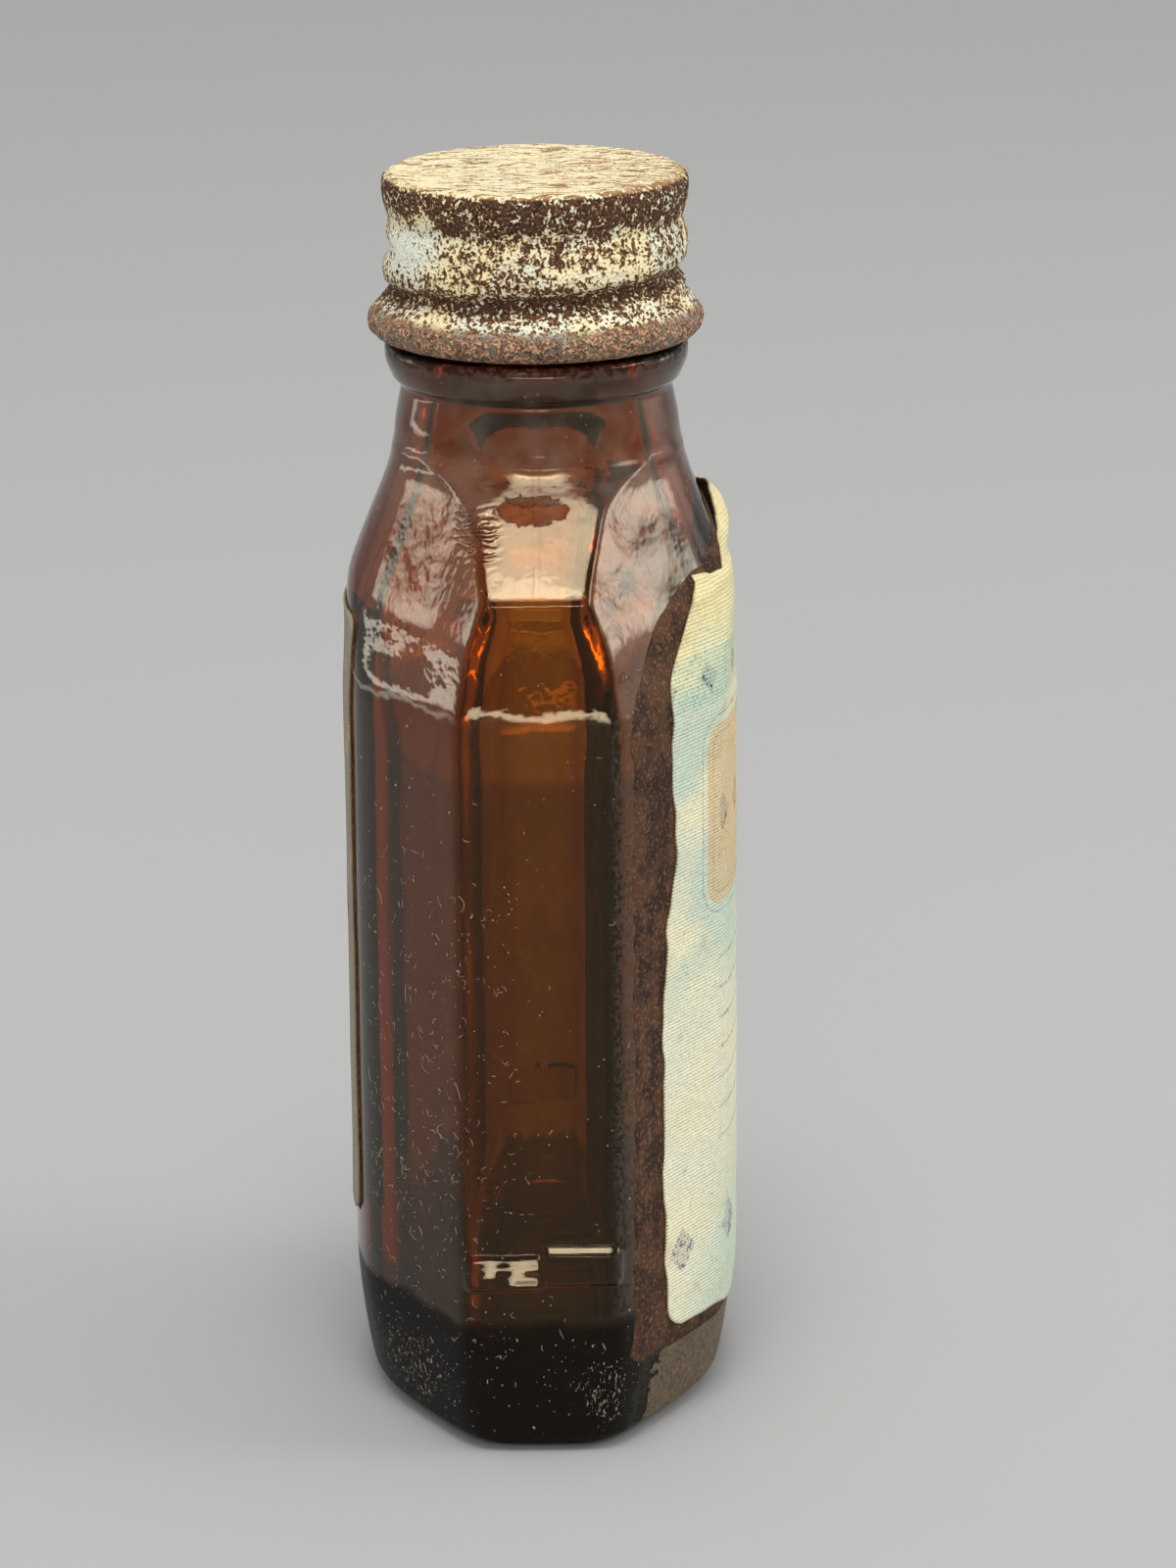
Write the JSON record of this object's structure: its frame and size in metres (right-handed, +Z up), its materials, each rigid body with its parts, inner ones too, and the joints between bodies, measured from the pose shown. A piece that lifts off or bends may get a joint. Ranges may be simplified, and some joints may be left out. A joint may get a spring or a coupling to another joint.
{
  "type": "screw-capped medicine bottle",
  "caption": "Small amber glass bottle, oblong with chamfered corners and a faceted shoulder, with a worn tinplate screw cap, its wad and two blank-pattern paper labels.",
  "frame": {"origin": "centre of the base, on the plane of the bearing ring", "axes": "+Z up along the neck, X across the two narrow end faces, Y across the two broad faces, front label on the -Y side"},
  "size_m": [0.0392, 0.0274, 0.0864],
  "materials": {
    "amber_glass": "moulded amber glass, glossy, dusty at the heel",
    "painted_tinplate": "cream lacquer on tinplate, rust-stained and speckled",
    "pulpboard": "matte grey-brown pulpboard",
    "waxed_paper": "thin waxed paper, slight sheen",
    "printed_paper": "matte cream paper with a fine printed screen, worn edges",
    "dried_glue": "dried brown glue, dusty",
    "plain_paper": "matte aged paper",
    "back_glue": "dried brown glue, dusty"
  },
  "bodies": {
    "bottle": {"glass_bottle": "amber_glass", "front_label": "printed_paper", "front_label_glue": "dried_glue", "back_label": "plain_paper", "back_label_glue": "back_glue"},
    "liner": {"liner_board": "pulpboard", "liner_facing": "waxed_paper"},
    "cap": {"cap_shell": "painted_tinplate"}
  },
  "joints": [
    {"name": "cap_rise", "type": "slide", "parent": "bottle", "child": "liner", "axis": [0, 0, 1], "range_m": [0, 0.0127]},
    {"name": "cap_turn", "type": "hinge", "parent": "liner", "child": "cap", "pos_m": [0, 0, 0.085], "axis": [0, 0, 1], "range_deg": [0, 1440]}
  ],
  "couplings": [
    {"joint": "cap_rise", "follows": "cap_turn", "m_per_rad": 0.00050532}
  ]
}
